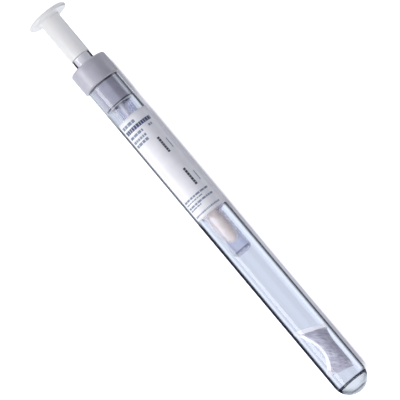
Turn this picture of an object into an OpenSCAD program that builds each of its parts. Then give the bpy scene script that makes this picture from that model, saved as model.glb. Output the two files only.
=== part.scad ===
// Specimen swab tube: a small glass tube with a swab in it, carried in the bored rubber stopper of
// a larger round-bottomed glass tube.
// Pulling the plunger takes the swab out, and pushing it home drives the small tube through the
// stopper into the larger one, where a sachet lies wedged across the bore.
// Every piece is drawn round the tubes' own axis, with z = 0 at the outer tube's rim and +z towards
// its round bottom. stand() then stands the whole on its thumb flange, round bottom up, on z = 0.

/* [Outer tube] */
// Outside diameter of the outer tube
tube_d = 16; // [14.5:0.1:20]
// Wall of the outer tube
tube_wall = 1; // [0.8:0.05:1.4]
// Length of the outer tube, from its rim to its round end
tube_len = 176.9; // [160:0.1:220]
// Solid glass under the floor of the outer tube, on its axis
tube_base = 5.5; // [4:0.1:7]
// Radius between the bore and the floor of the outer tube
floor_r = 1.5; // [0.5:0.1:3]

/* [Stopper] */
// How far the stopper's head stands proud of the outer tube
head_overhang = 1.2; // [0.8:0.1:3]
// Height of the stopper's head
head_h = 10.9; // [8:0.1:16]
// Rounding of the edges of the head
head_r = 0.8; // [0.3:0.1:1.5]
// Length of the plug inside the outer tube
plug_len = 12.5; // [8:0.1:18]
// Rounding of the plug's lower edge
plug_r = 0.7; // [0.3:0.1:1]
// Height of the lip inside the plug that seals on the inner tube
lip_h = 1.5; // [1:0.1:3]

/* [Inner tube] */
// Outside diameter of the inner tube
inner_d = 9.2; // [8.4:0.1:9.6]
// Wall of the inner tube
inner_wall = 0.8; // [0.6:0.05:1]
// Length of the inner tube, from its rim to its closed end
inner_len = 113.6; // [105:0.1:125]
// How far the inner tube shows above the stopper's head
inner_show = 4.8; // [2:0.1:8]
// Outside radius round the closed end of the inner tube
inner_end_r = 2; // [1.2:0.1:3]

/* [Plunger] */
// Diameter of the thumb flange
flange_d = 19.8; // [18:0.1:26]
// Thickness of the thumb flange
flange_t = 2; // [1.5:0.1:3]
// Diameter of the stem
stem_d = 9.9; // [9.7:0.1:10.8]
// Length of the stem between the flange and its shoulder on the inner tube
stem_len = 21.9; // [18:0.1:26]
// Wall of the hollow stem
stem_wall = 1.3; // [0.9:0.1:1.8]
// Radius between the stem and the flange, which the mouth of the stopper's hole matches
stem_fillet = 0.8; // [0.3:0.1:2]
// Length of the nose that plugs the inner tube
nose_len = 7; // [4:0.1:12]
// How far the stick's socket rises above the shoulder
socket_rise = 4.5; // [2:0.1:7]
// Solid web between the socket and the hollow of the stem
web_t = 2.4; // [1.5:0.1:4]

/* [Swab] */
// Diameter of the swab's stick
stick_d = 2.5; // [1.8:0.1:3.2]
// Room all round between the bud and the bore of the inner tube
bud_room = 0.4; // [0.3:0.05:1]
// Length of the bud
bud_len = 20; // [14:0.1:26]
// Free space between the bud's tip and the floor of the inner tube
bud_clear = 5.5; // [2:0.1:12]
// How far the stick's end stays short of the bud's tip
stick_short = 2.5; // [1.5:0.1:5]

/* [Label] */
// From the outer tube's rim to the label
label_start = 19.9; // [16:0.1:30]
// Length of the label along the tube
label_len = 55.6; // [40:0.1:80]
// Thickness of the label
label_t = 0.1; // [0.06:0.01:0.15]
// How far round the tube the label goes, in degrees
label_wrap = 290; // [200:1:340]
// Where the label starts, in degrees round the tube from its back
label_turn = -50; // [-90:1:0]
// Radius of the label's corners
label_corner = 1.2; // [0.5:0.1:3]

/* [Sachet] */
// Length of the sachet along the tube's axis
sachet_len = 24; // [18:0.1:32]
// Thickness of the filled middle of the sachet
sachet_t = 5.6; // [3:0.1:8]
// Width across the filled middle of the sachet
sachet_w = 7.2; // [5:0.1:9]
// How far the filled middle lies off the tube's axis
sachet_off = 1.4; // [0:0.1:2]
// Thickness of the crimped ends
crimp_t = 0.5; // [0.3:0.05:1]
// Length of each crimped end
crimp_len = 2; // [1:0.1:4]
// Free space between the sachet and the floor of the outer tube, on the axis
sachet_clear = 5.7; // [3.5:0.1:12]
// Slant of the sachet's end nearer the stopper, as a slope across the bore
start_skew = 0.42; // [0:0.02:0.6]
// Slant of the sachet's end nearer the floor
end_skew = 0.26; // [0:0.02:0.4]

/* [Fits] */
// Radial running clearance of a piece that slides in another
slip = 0.05; // [0.02:0.01:0.1]
// Gap between faces that meet at rest and part in use
seat = 0.05; // [0.02:0.01:0.1]
// Radial room for the glue between the stick and what holds it
glue = 0.02; // [0.01:0.01:0.05]

/* [Hidden] */
$fn = 96;

eps = 0.01;

tube_r = tube_d / 2;
bore_r = tube_r - tube_wall;
floor_z = tube_len - tube_base;

head_rad = tube_r + head_overhang;
plug_rad = bore_r - slip;
head_bottom_z = -seat;
head_top_z = head_bottom_z - head_h;

inner_r = inner_d / 2;
inner_bore_r = inner_r - inner_wall;
inner_rim_z = head_top_z - inner_show;
inner_end_z = inner_rim_z + inner_len;
inner_floor_z = inner_end_z - inner_wall;
inner_floor_r = inner_end_r - inner_wall / 2;

stem_r = stem_d / 2;
flange_r = flange_d / 2;
shoulder_z = inner_rim_z - seat;
flange_low_z = shoulder_z - stem_len;
thumb_z = flange_low_z - flange_t;
nose_r = inner_bore_r - slip;
socket_z = shoulder_z - socket_rise;

bud_r = inner_bore_r - bud_room;
bud_tip_z = inner_floor_z - bud_clear;
bud_top_z = bud_tip_z - bud_len;
stick_end_z = bud_tip_z - stick_short;
socket_r = stick_d / 2 + glue;

sachet_end_z = floor_z - sachet_clear;
sachet_start_z = sachet_end_z - sachet_len;

// Stands the pieces on the thumb flange, with the label's print to the front, which is -Y.
module stand() {
    translate([0, 0, -thumb_z]) rotate([0, 0, 90]) children();
}

// A flat ring in the half section: from one radius to another, and from one height to another.
module band(r0, r1, z0, z1) {
    translate([r0, z0]) square([r1 - r0, z1 - z0]);
}

// A round spot in the half section.
module spot(r, z, radius) {
    translate([r, z]) circle(r = radius);
}

// The half section of a round bar whose lower edge is rounded.
module rounded_end(r, z0, z1, edge) {
    band(0, r, z0, z1 - edge);
    band(0, r - edge, z1 - edge - eps, z1);
    spot(r - edge, z1 - edge, edge);
}

// Large glass tube: fire-polished rim, straight bore, flat floor on a thick round bottom.
module outer_tube() {
    rim_r = tube_wall / 2;
    color([0.82, 0.87, 0.93, 0.4]) stand() rotate_extrude() {
        difference() {
            union() {
                band(0, tube_r, rim_r, tube_len - tube_r);
                intersection() {
                    spot(0, tube_len - tube_r, tube_r);
                    band(0, tube_r, tube_len - tube_r - eps, tube_len);
                }
            }
            rounded_end(bore_r, -eps, floor_z, floor_r);
        }
        spot(tube_r - rim_r, rim_r, rim_r);
    }
}

// Rubber stopper: the head covers the tube's rim and the plug fills its bore. The hole is wide
// enough for the plunger's stem, down to a lip that seals on the inner tube.
module stopper() {
    hole_r = stem_r + slip;
    lip_r = inner_r + slip;
    plug_end_z = head_bottom_z + plug_len;
    color([0.66, 0.65, 0.71]) stand() rotate_extrude() difference() {
        union() {
            band(0, head_rad, head_top_z + head_r, head_bottom_z - head_r);
            band(0, head_rad - head_r, head_top_z, head_bottom_z);
            for (z = [head_top_z + head_r, head_bottom_z - head_r]) spot(head_rad - head_r, z, head_r);
            rounded_end(plug_rad, head_bottom_z - eps, plug_end_z, plug_r);
        }
        band(0, hole_r, head_top_z - eps, plug_end_z - lip_h);
        band(0, lip_r, plug_end_z - lip_h - eps, plug_end_z + eps);
        difference() {
            band(0, hole_r + stem_fillet, head_top_z - eps, head_top_z + stem_fillet);
            spot(hole_r + stem_fillet, head_top_z + stem_fillet, stem_fillet);
        }
    }
}

// Small glass tube: fire-polished rim and a flat closed end with round corners.
module inner_tube() {
    rim_r = inner_wall / 2;
    color([0.80, 0.84, 0.90, 0.4]) stand() rotate_extrude() {
        difference() {
            rounded_end(inner_r, inner_rim_z + rim_r, inner_end_z, inner_end_r);
            rounded_end(inner_bore_r, inner_rim_z - eps, inner_floor_z, inner_floor_r);
        }
        spot(inner_r - rim_r, inner_rim_z + rim_r, rim_r);
    }
}

// Moulded plunger: thumb flange with a full-round edge, hollow stem, and a solid nose bored for
// the stick.
module plunger() {
    edge = flange_t / 2;
    core_end_z = socket_z - web_t;
    nose_end_z = shoulder_z + nose_len;
    nose_edge = 0.6;
    color([0.90, 0.91, 0.93]) stand() rotate_extrude() difference() {
        union() {
            band(0, flange_r - edge, thumb_z, flange_low_z);
            spot(flange_r - edge, thumb_z + edge, edge);
            band(0, stem_r, flange_low_z - eps, shoulder_z);
            difference() {
                band(0, stem_r + stem_fillet, flange_low_z - eps, flange_low_z + stem_fillet);
                spot(stem_r + stem_fillet, flange_low_z + stem_fillet, stem_fillet);
            }
            rounded_end(nose_r, shoulder_z - eps, nose_end_z, nose_edge);
        }
        band(0, stem_r - stem_wall, thumb_z - eps, core_end_z);
        band(0, socket_r, socket_z, nose_end_z + eps);
    }
}

// Stick of the swab, from the top of its socket into the bud.
module swab_stick() {
    color([0.93, 0.92, 0.88]) stand()
        translate([0, 0, socket_z + seat]) cylinder(d = stick_d, h = stick_end_z - socket_z - seat);
}

// Radius of the bud at a share of its length: full in the middle, blunt at the top and drawn in
// to a round tip.
function bud_radius(s) =
    let (fullness = 3.2, tip_draw = 0.16, across = abs(2 * s - 1))
    bud_r * pow(1 - pow(across, fullness), 1 / 2.2) * (1 - tip_draw * pow(s, 3));

// Fibre bud, wound on the end of the stick.
module swab_bud() {
    steps = 28;
    outline = [for (i = [0:steps])
        let (s = (1 - cos(180 * i / steps)) / 2) [bud_radius(s), bud_top_z + bud_len * s]];
    color([0.96, 0.94, 0.89]) stand() difference() {
        rotate_extrude() polygon(outline);
        translate([0, 0, bud_top_z - 1])
            cylinder(r = socket_r, h = stick_end_z + seat - bud_top_z + 1);
    }
}

// What one corner leaves out of the label, with the corner's point at the origin. The arc swings
// a little wide, so that it crosses the label's edges.
module corner_waste() {
    wide = 0.05;
    linear_extrude(4) difference() {
        translate([-1, -1]) square(label_corner + 1);
        translate([label_corner, label_corner]) circle(r = label_corner + wide);
    }
}

// Paper label, stuck round the outer tube.
module label() {
    label_end = label_start + label_len;
    color([0.95, 0.95, 0.96]) stand() difference() {
        rotate([0, 0, label_turn]) rotate_extrude(angle = label_wrap)
            band(tube_r, tube_r + label_t, label_start, label_end);
        for (far = [0, 1], side = [0, 1])
            rotate([0, 0, label_turn + side * label_wrap])
                translate([tube_r - 2, 0, far ? label_end : label_start]) rotate([0, 90, 0])
                    mirror([1 - far, 0, 0]) mirror([0, side, 0]) corner_waste();
    }
}

// How full the sachet is at a share of its length: flat in the crimps, swollen between them.
function swell(s) =
    let (flat = crimp_len / sachet_len, t = (s - flat) / (1 - 2 * flat))
    t <= 0 || t >= 1 ? 0 : pow(sin(180 * t), 0.7);

// A point of the sachet's skin, at a share of its length and an angle round its section. Nothing
// of it reaches past the bore, and its ends lie askew.
function sachet_point(s, a) =
    let (
        full = swell(s),
        reach = bore_r - slip,
        half_w = reach + (sachet_w / 2 - reach) * full,
        half_t = (crimp_t + (sachet_t - crimp_t) * full) / 2,
        x = half_t * sin(a),
        y = sachet_off * full + half_w * cos(a),
        fit = min(1, reach / norm([x, y])),
        skew = start_skew + (end_skew - start_skew) * s
    )
    [x * fit, y * fit, sachet_start_z + sachet_len * s + skew * y * fit];

// Sealed pouch, wedged across the bore by its crimped ends.
module sachet() {
    rings = 30;
    sides = 28;
    points = [for (i = [0:rings], j = [0:sides - 1]) sachet_point(i / rings, 360 * j / sides)];
    start = [for (j = [sides - 1:-1:0]) j];
    end = [for (j = [0:sides - 1]) rings * sides + j];
    skin = [for (i = [0:rings - 1], j = [0:sides - 1])
        let (k = (j + 1) % sides, a = i * sides, b = a + sides)
        each [[a + k, b + k, b + j], [a + k, b + j, a + j]]];
    color([0.80, 0.79, 0.84]) stand() polyhedron(points, concat([start], skin, [end]));
}

outer_tube();
stopper();
inner_tube();
plunger();
swab_stick();
swab_bud();
label();
sachet();
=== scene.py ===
import math
import random

import bpy
from bpy.props import FloatProperty, FloatVectorProperty, IntProperty, PointerProperty
from mathutils import Matrix, Vector, noise


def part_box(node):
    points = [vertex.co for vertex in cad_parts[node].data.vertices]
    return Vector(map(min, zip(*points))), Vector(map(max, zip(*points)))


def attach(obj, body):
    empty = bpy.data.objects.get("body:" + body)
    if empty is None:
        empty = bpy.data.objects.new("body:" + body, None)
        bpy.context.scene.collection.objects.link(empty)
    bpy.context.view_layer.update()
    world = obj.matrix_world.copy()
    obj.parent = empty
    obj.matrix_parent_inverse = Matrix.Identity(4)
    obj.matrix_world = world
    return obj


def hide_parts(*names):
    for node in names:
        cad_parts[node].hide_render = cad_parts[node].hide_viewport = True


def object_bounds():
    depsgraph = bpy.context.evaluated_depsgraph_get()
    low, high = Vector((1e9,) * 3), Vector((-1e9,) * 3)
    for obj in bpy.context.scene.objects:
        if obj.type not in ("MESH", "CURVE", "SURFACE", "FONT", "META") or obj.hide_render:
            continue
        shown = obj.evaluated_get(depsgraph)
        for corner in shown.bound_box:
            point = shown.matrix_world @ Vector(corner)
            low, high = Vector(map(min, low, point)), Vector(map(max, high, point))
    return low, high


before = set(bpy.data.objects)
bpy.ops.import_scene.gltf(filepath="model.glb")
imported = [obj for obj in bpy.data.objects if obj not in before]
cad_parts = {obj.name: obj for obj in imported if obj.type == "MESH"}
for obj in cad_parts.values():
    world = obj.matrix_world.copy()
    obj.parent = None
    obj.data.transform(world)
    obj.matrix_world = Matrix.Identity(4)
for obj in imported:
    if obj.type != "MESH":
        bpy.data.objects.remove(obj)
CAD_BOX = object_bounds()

bl_info = {
    "name": "Specimen Swab Tube",
    "version": (1, 0, 0),
    "blender": (4, 5, 0),
    "location": "3D View > Sidebar > Swab Tube",
    "description": "Dresses a two-tube specimen collector in glass, rubber, plastic, paper and film",
    "category": "Object",
}

MM = 0.001

TUBE_LOW, TUBE_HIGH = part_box("outer_tube")
INNER_LOW, INNER_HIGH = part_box("inner_tube")
STOPPER_LOW, STOPPER_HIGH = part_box("stopper")
LABEL_LOW, LABEL_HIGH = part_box("label")
STICK_LOW, STICK_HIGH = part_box("swab_stick")
BUD_LOW, BUD_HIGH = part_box("swab_bud")
SACHET_LOW, SACHET_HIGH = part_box("sachet")

TUBE_R = (TUBE_HIGH.x - TUBE_LOW.x) / 2
INNER_R = (INNER_HIGH.x - INNER_LOW.x) / 2
LABEL_R = LABEL_HIGH.y


# ---------------------------------------------------------------- colours and shader nodes

def linear(hex_colour):
    """Turns an sRGB hex colour, such as "#E6E7EC", into linear red, green, blue and alpha."""
    def channel(value):
        return value / 12.92 if value <= 0.04045 else ((value + 0.055) / 1.055) ** 2.4
    digits = hex_colour.lstrip("#")
    return tuple(channel(int(digits[i:i + 2], 16) / 255) for i in (0, 2, 4)) + (1.0,)


def grey(value):
    """A grey of the given linear value."""
    return (value, value, value, 1.0)


def scaled(colour, factor):
    """A linear colour made darker or paler by a factor."""
    return tuple(channel * factor for channel in colour[:3]) + (1.0,)


def add_node(tree, kind, sockets=None, stops=(), **settings):
    """Adds a shader node with its settings, and gives each named socket a value or a link.

    A link comes from a socket, or from the first output of a node. A colour ramp has its stops, as
    (position, linear colour).
    """
    made = tree.nodes.new("ShaderNode" + kind)
    for key, value in settings.items():
        setattr(made, key, value)
    for key, value in (sockets or {}).items():
        if isinstance(value, bpy.types.Node):
            value = value.outputs[0]
        if isinstance(value, bpy.types.NodeSocket):
            tree.links.new(value, made.inputs[key])
        else:
            made.inputs[key].default_value = value
    line = made.color_ramp.elements if stops else ()
    while len(line) < len(stops):
        line.new(0.5)
    for element, (position, colour) in zip(line, stops):
        element.position = position
        element.color = colour
    return made


def new_material(name):
    """An empty node material and its tree."""
    material = bpy.data.materials.new(name)
    material.use_nodes = True
    material.node_tree.nodes.clear()
    return material, material.node_tree


def along_tube(tree, stretch):
    """Object coordinates in millimetres, drawn out along the tubes' axis by the given factor.

    The scale of a pattern laid on them is the number of its marks in a millimetre.
    """
    place = add_node(tree, "TexCoord").outputs["Object"]
    scale = (1 / MM, 1 / MM, 1 / (MM * stretch))
    return add_node(tree, "Mapping", {"Vector": place, "Scale": scale})


# ---------------------------------------------------------------- materials

def drawn_glass(name, tint, lined=False, wall=0.0, wall_from=0.54, end=0.0, near_fold_shade=0.0,
                far_fold_shade=0.0, flat=0.0, clear=0.0, paler=False):
    """Soda-lime glass, drawn to tube and fire-polished.

    Its surface is flawless but for faint draw lines along its length and soft rings where the end
    was closed in the flame. The bore touched nothing while soft, so it is not lined. The eye reads
    glass by its dark edges, the bright line of the lamp and what it bends behind it. Lamps and soft
    light pass it as they pass a clear pane.

    The last values say how much painted shade, a dark blue-grey diffuse mixed into the glass, it
    takes: along a straight wall seen from wall_from or more aslant, round a closed end, where the
    nearer and the farther wall turn over at a rim or a floor, and on the flat beyond that turn. A
    thin wall bends the light less than a solid one, so a share of it may be clear. Where the label
    and the stopper stand behind a wall, its painted line is paler.
    """
    material, tree = new_material(name)
    facing = add_node(tree, "TexCoord").outputs["Normal"]
    upward = add_node(tree, "SeparateXYZ", {"Vector": facing}).outputs["Z"]
    upward = add_node(tree, "Math", {0: upward}, operation="ABSOLUTE")
    closing = add_node(tree, "MapRange", {"Value": upward, "From Min": 0.05, "From Max": 0.2})
    # The rings lie about 1 mm apart, and so do the draw lines, which run for about 40 mm.
    rings = add_node(tree, "TexNoise", {
        "Vector": along_tube(tree, 0.05), "Scale": 0.045, "Detail": 2.0, "Roughness": 0.5})
    look = {"Base Color": tint, "Roughness": 0.0, "IOR": 1.52, "Transmission Weight": 1.0}
    if lined:
        lines = add_node(tree, "TexNoise", {
            "Vector": along_tube(tree, 40), "Scale": 1.1, "Detail": 3.0, "Roughness": 0.55})
        ringed = add_node(tree, "Math", {0: rings, 1: closing}, operation="MULTIPLY")
        # The rings of a closed end are waves, 300 times as high as the draw lines.
        height = add_node(tree, "Math", {0: ringed, 1: 300.0, 2: lines}, operation="MULTIPLY_ADD")
        look["Normal"] = add_node(tree, "Bump", {
            "Height": height, "Strength": 1.0, "Distance": 0.0007 * MM})
    glass = add_node(tree, "BsdfPrincipled", look)

    # Where a wall is seen edge on, real glass bends the light out of view and looks dark. Here that
    # dark is painted shade: a dark diffuse, mixed in by how aslant the surface is seen.
    slant = add_node(tree, "LayerWeight", {"Blend": 0.5}).outputs["Facing"]
    painted_wall_shade = add_node(tree, "ValToRGB", {"Fac": slant}, stops=[
        (wall_from, grey(0)), (wall_from + 0.1, grey(wall)), (0.9, grey(wall)), (1.0, grey(0))])
    if paler:
        level = add_node(tree, "TexCoord").outputs["Object"]
        level = add_node(tree, "SeparateXYZ", {"Vector": level}).outputs["Z"]
        for start in (LABEL_LOW.z, LABEL_HIGH.z):
            past = add_node(tree, "MapRange", {
                "Value": level, "From Min": start - MM, "From Max": start + MM, "To Min": 0.6})
            painted_wall_shade = add_node(tree, "Math", {0: painted_wall_shade, 1: past}, operation="MULTIPLY")
    # Painted shade round a closed end, broken into streaks by the rings.
    painted_end_shade = add_node(tree, "ValToRGB", {"Fac": slant}, stops=[
        (0.2, grey(0)), (0.45, grey(end)), (0.7, grey(end / 2)), (1.0, grey(end / 2))])
    streak = add_node(tree, "MapRange", {
        "Value": rings, "From Min": 0.35, "From Max": 0.65, "To Min": 0.45, "To Max": 1.45})
    painted_end_shade = add_node(tree, "Math", {0: painted_end_shade, 1: streak}, operation="MULTIPLY")
    edge = add_node(tree, "MixRGB", {"Fac": closing, "Color1": painted_wall_shade, "Color2": painted_end_shade})
    # Painted shade where the nearer and the farther wall turn over at a rim or a floor, and on the
    # flat beyond that turn.
    side = add_node(tree, "NewGeometry").outputs["Backfacing"]
    depth = add_node(tree, "MapRange", {"Value": side, "To Min": far_fold_shade, "To Max": near_fold_shade})
    turn = add_node(tree, "ValToRGB", {"Fac": upward}, stops=[
        (0.3, grey(0)), (0.45, grey(1)), (0.65, grey(1)), (0.8, grey(flat))])
    painted_fold_shade = add_node(tree, "Math", {0: turn, 1: depth}, operation="MULTIPLY")
    edge = add_node(tree, "Math", {0: edge, 1: painted_fold_shade}, operation="MAXIMUM")

    thin = add_node(tree, "BsdfTransparent", {"Color": tint})
    wall_body = add_node(tree, "MixShader", {"Fac": clear, 1: glass, 2: thin})
    # The painted shade itself: a dark blue-grey diffuse.
    shade = add_node(tree, "BsdfDiffuse", {"Color": linear("#141A33")})
    body = add_node(tree, "MixShader", {"Fac": edge, 1: wall_body, 2: shade})
    path = add_node(tree, "LightPath").outputs
    soft = add_node(tree, "Math", {
        0: path["Is Shadow Ray"], 1: path["Is Diffuse Ray"]}, operation="MAXIMUM")
    pane = add_node(tree, "BsdfTransparent", {"Color": linear("#FEFEFF")})
    mix = add_node(tree, "MixShader", {"Fac": soft, 1: body, 2: pane})
    add_node(tree, "OutputMaterial", {"Surface": mix})
    return material


def moulded_butyl_rubber(name, base, roughness):
    """Grey butyl rubber, compression moulded.

    Soft and half matt: a broad dull highlight, a fine pebbled skin from the mould and pale dust of
    talc that evens the colour out. Where it is pressed against the glass, past the tube's rim, its
    skin is smooth and shines. A dark grey is painted on it as shade in a band in the crevice at
    that rim and near its lip.
    """
    material, tree = new_material(name)
    place = along_tube(tree, 1)
    # The talc lies in patches of about 3 mm.
    blotch = add_node(tree, "TexNoise", {"Vector": place, "Scale": 0.35, "Detail": 2.0})
    colour = add_node(tree, "ValToRGB", {"Fac": blotch}, stops=[
        (0.3, scaled(base, 0.93)), (0.7, scaled(base, 1.06))])
    # Pebbles of about 0.05 mm are too fine to show, so they are drawn 0.2 mm across.
    pebble = add_node(tree, "TexNoise", {"Vector": place, "Scale": 5.0, "Detail": 3.0})
    bump = add_node(tree, "Bump", {"Height": pebble, "Strength": 0.5, "Distance": 0.03 * MM})
    look = {"Base Color": colour, "IOR": 1.5, "Specular IOR Level": 1.0, "Coat Weight": 1.0,
            "Sheen Weight": 1.0, "Sheen Roughness": 0.5}
    skin = add_node(tree, "BsdfPrincipled", look | {
        "Roughness": roughness, "Coat Roughness": 0.45, "Coat IOR": 1.8, "Normal": bump})
    shining = add_node(tree, "BsdfPrincipled", look | {"Roughness": 0.2, "Coat Roughness": 0.08})
    # Painted shade: a dark grey, mixed into the pressed rubber just past the tube's rim and near the
    # plug's lip, where the crevice lies in shadow.
    deep = add_node(tree, "BsdfDiffuse", {"Color": linear("#3A3944")})
    height = add_node(tree, "SeparateXYZ", {"Vector": place}).outputs["Z"]
    rim = TUBE_LOW.z / MM
    share = add_node(tree, "MapRange", {
        "Value": height, "From Min": rim, "From Max": STOPPER_HIGH.z / MM})
    painted_crevice_shade = add_node(tree, "ValToRGB", {"Fac": share}, stops=[
        (0.0, grey(1)), (0.05, grey(1)), (0.08, grey(0)), (0.94, grey(0)), (0.955, grey(0.9)),
        (0.98, grey(0.9)), (0.995, grey(0.25))])
    pressed = add_node(tree, "MixShader", {"Fac": painted_crevice_shade, 1: shining, 2: deep})
    inside = add_node(tree, "MapRange", {"Value": height, "From Min": rim, "From Max": rim + 0.5})
    body = add_node(tree, "MixShader", {"Fac": inside, 1: skin, 2: pressed})
    add_node(tree, "OutputMaterial", {"Surface": body})
    return material


def moulded_polypropylene(name, base):
    """Natural polypropylene, injection moulded.

    Milky white: light enters it and comes out again nearby, so its edges never go dark, and the
    light that comes through it from behind is drawn as a faint glow. Its skin has a soft gloss and
    faint flow marks.
    """
    material, tree = new_material(name)
    # Flow marks are about 1.3 mm wide and 8 mm long.
    flow = add_node(tree, "TexNoise", {"Vector": along_tube(tree, 6), "Scale": 0.8, "Detail": 3.0})
    bump = add_node(tree, "Bump", {"Height": flow, "Strength": 0.4, "Distance": 0.05 * MM})
    body = add_node(tree, "BsdfPrincipled", {
        "Base Color": base, "Roughness": 0.32, "IOR": 1.49, "Coat Weight": 0.6,
        "Coat Roughness": 0.15, "Subsurface Weight": 0.5, "Subsurface Radius": (1.0, 1.0, 1.0),
        "Subsurface Scale": 0.8 * MM, "Emission Color": linear("#F4F4FF"),
        "Emission Strength": 0.17, "Normal": bump})
    add_node(tree, "OutputMaterial", {"Surface": body})
    return material


def extruded_polystyrene(name, base):
    """Polystyrene, extruded to a stick: pale, a little see-through, with lines along its length."""
    material, tree = new_material(name)
    # Lines of 0.1 mm from the die are too fine to show, so they are drawn 0.25 mm apart.
    lines = add_node(tree, "TexNoise", {"Vector": along_tube(tree, 60), "Scale": 4.0, "Detail": 2.0})
    bump = add_node(tree, "Bump", {"Height": lines, "Strength": 0.6, "Distance": 0.02 * MM})
    body = add_node(tree, "BsdfPrincipled", {
        "Base Color": base, "Roughness": 0.3, "IOR": 1.59, "Subsurface Weight": 0.3,
        "Subsurface Radius": (1.0, 1.0, 1.0), "Subsurface Scale": 0.8 * MM, "Normal": bump})
    add_node(tree, "OutputMaterial", {"Surface": body})
    return material


def wound_rayon_fibre(name, strand_hollow_shade, crown):
    """Rayon fibre, wound on the stick: soft, creamy and brightest where the strands stand up.

    Light passes through it from the paper behind, and is drawn as a faint glow of its own.
    """
    material, tree = new_material(name)
    place = add_node(tree, "TexCoord").outputs["Object"]
    # Strands of 0.02 mm are too fine to show, so they are drawn 0.3 mm apart.
    laid = add_node(tree, "Mapping", {
        "Vector": place, "Rotation": (0.3, 0.5, 0.0), "Scale": (0.3 * MM, 0.3 * MM, 2.5 * MM)},
        vector_type="TEXTURE")
    strands = add_node(tree, "TexNoise", {
        "Vector": laid, "Scale": 1.0, "Detail": 4.0, "Roughness": 0.6})
    # Painted shade and highlight: the fibre is darker in the hollows between the strands and palest
    # on the strands that stand up, as the bump is low or high.
    colour = add_node(tree, "ValToRGB", {"Fac": strands}, stops=[(0.32, strand_hollow_shade), (0.6, crown)])
    bump = add_node(tree, "Bump", {"Height": strands, "Strength": 0.6, "Distance": 0.06 * MM})
    body = add_node(tree, "BsdfPrincipled", {
        "Base Color": colour, "Roughness": 0.3, "IOR": 1.6, "Specular IOR Level": 1.0,
        "Coat Weight": 1.0, "Coat Roughness": 0.22, "Sheen Weight": 1.0, "Sheen Roughness": 0.6,
        "Subsurface Weight": 1.0, "Subsurface Radius": (1.0, 0.85, 0.7),
        "Subsurface Scale": 2.2 * MM, "Emission Color": colour, "Emission Strength": 0.22,
        "Normal": bump})
    add_node(tree, "OutputMaterial", {"Surface": body})
    return material


def coated_label_paper(name, base):
    """White label paper with a satin coating: even and bright, with a faint tooth."""
    material, tree = new_material(name)
    place = along_tube(tree, 1)
    cloud = add_node(tree, "TexNoise", {"Vector": place, "Scale": 0.25, "Detail": 2.0})
    colour = add_node(tree, "ValToRGB", {"Fac": cloud}, stops=[
        (0.35, scaled(base, 0.96)), (0.65, base)])
    # A tooth of 0.02 mm is too fine to show, so it is drawn 0.14 mm across.
    tooth = add_node(tree, "TexNoise", {"Vector": place, "Scale": 7.0, "Detail": 4.0})
    bump = add_node(tree, "Bump", {"Height": tooth, "Strength": 0.35, "Distance": 0.02 * MM})
    body = add_node(tree, "BsdfPrincipled", {
        "Base Color": colour, "Roughness": 0.5, "IOR": 1.45, "Coat Weight": 0.35,
        "Coat Roughness": 0.15, "Normal": bump})
    add_node(tree, "OutputMaterial", {"Surface": body})
    return material


def printing_ink(name, solid, worn):
    """Offset ink on the label: flat, and thin enough in places for the paper to show."""
    material, tree = new_material(name)
    # The thin places are about 0.3 mm across.
    cover = add_node(tree, "TexNoise", {"Vector": along_tube(tree, 1), "Scale": 3.0, "Detail": 3.0})
    colour = add_node(tree, "ValToRGB", {"Fac": cover}, stops=[(0.45, solid), (0.75, worn)])
    body = add_node(tree, "BsdfPrincipled", {"Base Color": colour, "Roughness": 0.45, "IOR": 1.5})
    add_node(tree, "OutputMaterial", {"Surface": body})
    return material


def spunbonded_film(name, film, seam, glow=0.0):
    """Spunbonded polyethylene, pressed to a thin sheet and sealed.

    White and cloudy, with fine fibres in all directions, painted darker as shade in the hollows
    between them. Where a fold is given the white of the seal, its bright line is a painted
    highlight, and the light that comes through thin film from the paper behind is drawn as a faint
    glow.
    """
    material, tree = new_material(name)
    place = add_node(tree, "TexCoord").outputs["Object"]
    fibres = []
    # Fibres of 0.05 mm are drawn about 0.8 mm apart, most of them slanting one way.
    for angle in (-0.85, -0.6):
        laid = add_node(tree, "Mapping", {
            "Vector": place, "Rotation": (0.0, angle, 0.0), "Scale": (0.7 * MM, 0.7 * MM, 7 * MM)},
            vector_type="TEXTURE")
        fibres.append(add_node(tree, "TexNoise", {"Vector": laid, "Scale": 1.0, "Detail": 3.0}))
    weave = add_node(tree, "Math", {0: fibres[0], 1: fibres[1]}, operation="MAXIMUM")
    # Painted shade: the film is darker in the hollows between the fibres, where the bump is low.
    colour = add_node(tree, "ValToRGB", {"Fac": weave}, stops=[(0.42, seam), (0.68, film)])
    bump = add_node(tree, "Bump", {"Height": weave, "Strength": 0.8, "Distance": 0.1 * MM})
    body = add_node(tree, "BsdfPrincipled", {
        "Base Color": colour, "Roughness": 0.42, "IOR": 1.5, "Emission Color": film,
        "Emission Strength": glow, "Subsurface Weight": 0.4,
        "Subsurface Radius": (1.0, 1.0, 1.0), "Subsurface Scale": 1.0 * MM, "Normal": bump})
    add_node(tree, "OutputMaterial", {"Surface": body})
    return material


# ---------------------------------------------------------------- meshes

def place_mesh(name, vertices, faces, materials, face_slots=None, smooth=True):
    """Makes an object from its points and faces, with its materials."""
    mesh = bpy.data.meshes.new(name)
    mesh.from_pydata(vertices, [], faces)
    for material in materials:
        mesh.materials.append(material)
    if face_slots:
        mesh.polygons.foreach_set("material_index", face_slots)
    mesh.polygons.foreach_set("use_smooth", [smooth] * len(mesh.polygons))
    mesh.validate()
    mesh.update()
    made = bpy.data.objects.new(name, mesh)
    bpy.context.scene.collection.objects.link(made)
    return made


# A point of a half section that is nearer to the axis than this lies on it.
ON_AXIS = 0.0001 * MM


def round_axis(z, r, angle):
    """A point at a height and a distance from the axis. The angle is from the front, towards -X."""
    return (-r * math.sin(angle), -r * math.cos(angle), z)


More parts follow.
